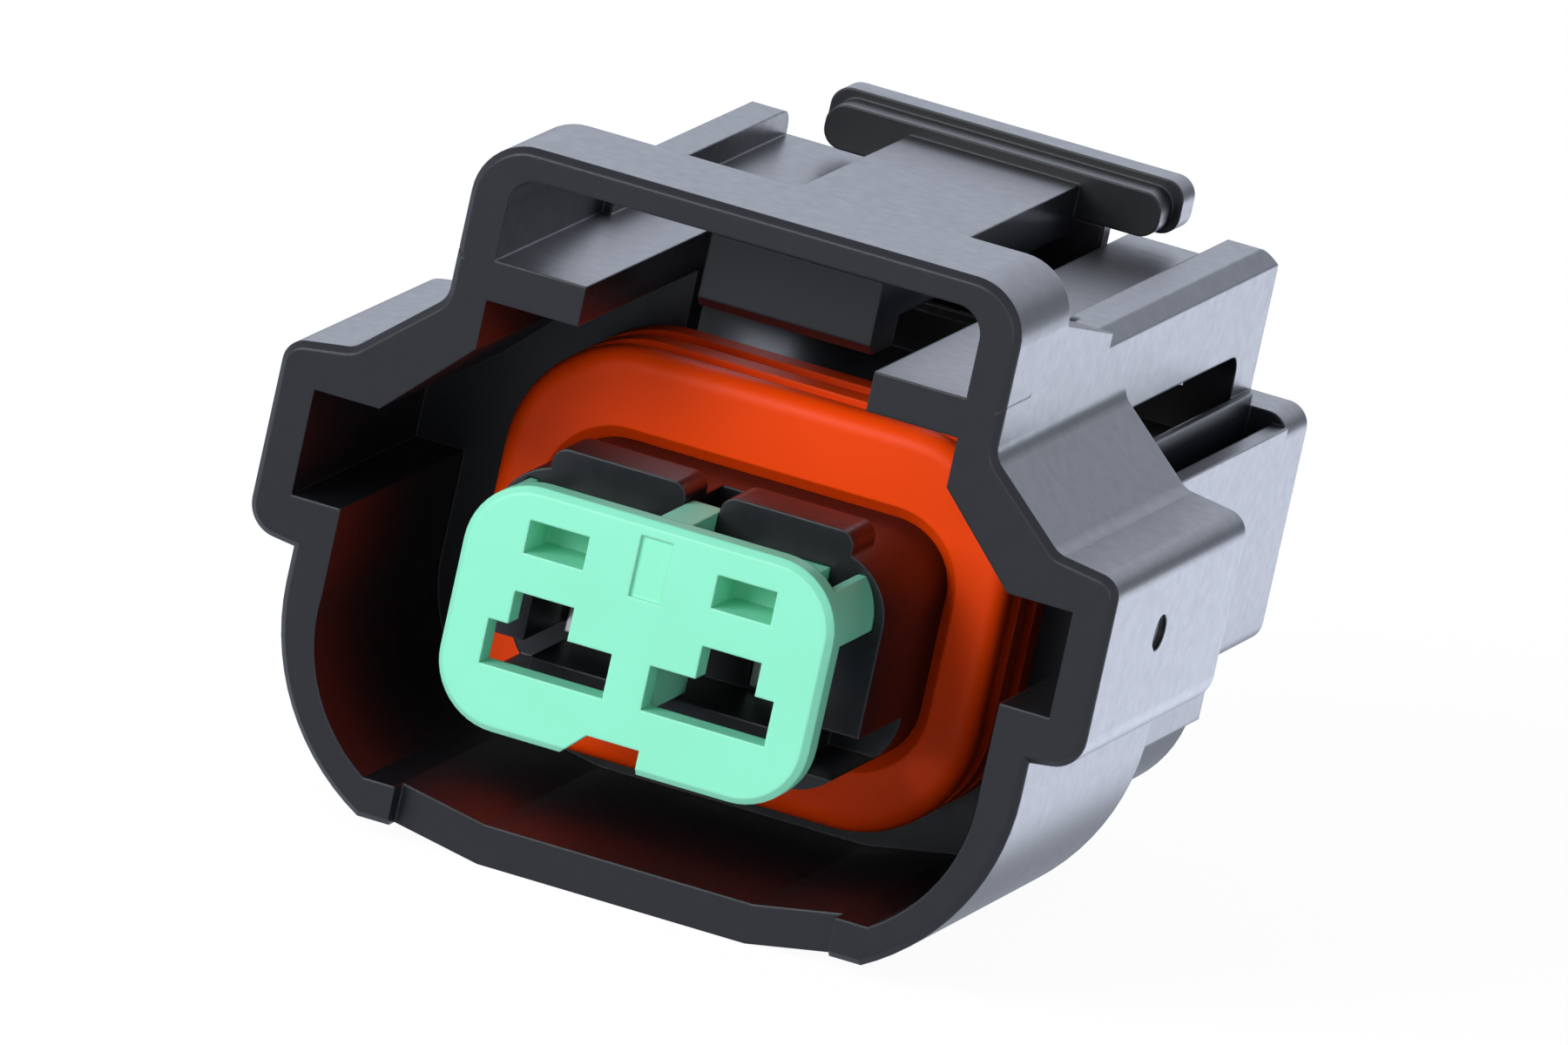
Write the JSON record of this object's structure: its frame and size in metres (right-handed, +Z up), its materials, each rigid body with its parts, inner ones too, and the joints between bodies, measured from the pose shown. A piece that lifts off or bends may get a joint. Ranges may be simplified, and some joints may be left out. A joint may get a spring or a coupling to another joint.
{
  "type": "sealed harness plug",
  "caption": "Sealed automotive harness plug: hooded moulding with a rocking lock lever under a bridge, a sliding front retainer, a perimeter seal, contacts and wire seals.",
  "frame": {"origin": "centre of the bounding box on the plane that the hood's lower wall rests on", "axes": "+Z up towards the lock lever, -Y out of the mating face, +X to the right seen from the mating face"},
  "size_m": [0.0262, 0.0278, 0.0211],
  "materials": {
    "housing_plastic": "satin black moulded polyester",
    "lever_plastic": "satin black moulded polyester",
    "retainer_plastic": "satin mint green moulded plastic",
    "seal_rubber": "orange silicone rubber",
    "contact_metal": "tin plated",
    "wire_seal_rubber": "orange silicone rubber"
  },
  "bodies": {
    "plug": {"housing": "housing_plastic", "perimeter_seal": "seal_rubber", "contact_left": "contact_metal", "contact_right": "contact_metal", "wire_seal_left": "wire_seal_rubber", "wire_seal_right": "wire_seal_rubber"},
    "lever": {"lock_lever": "lever_plastic"},
    "retainer": {"front_retainer": "retainer_plastic"}
  },
  "joints": [
    {"name": "lever_rock", "type": "hinge", "parent": "plug", "child": "lever", "pos_m": [0, 0.00615, 0.017], "axis": [-1, 0, 0], "range_deg": [0, 2.8], "stiffness_Nm_per_rad": 0.05},
    {"name": "retainer_slide", "type": "slide", "parent": "plug", "child": "retainer", "axis": [0, 1, 0], "range_m": [0, 0.00275]}
  ]
}
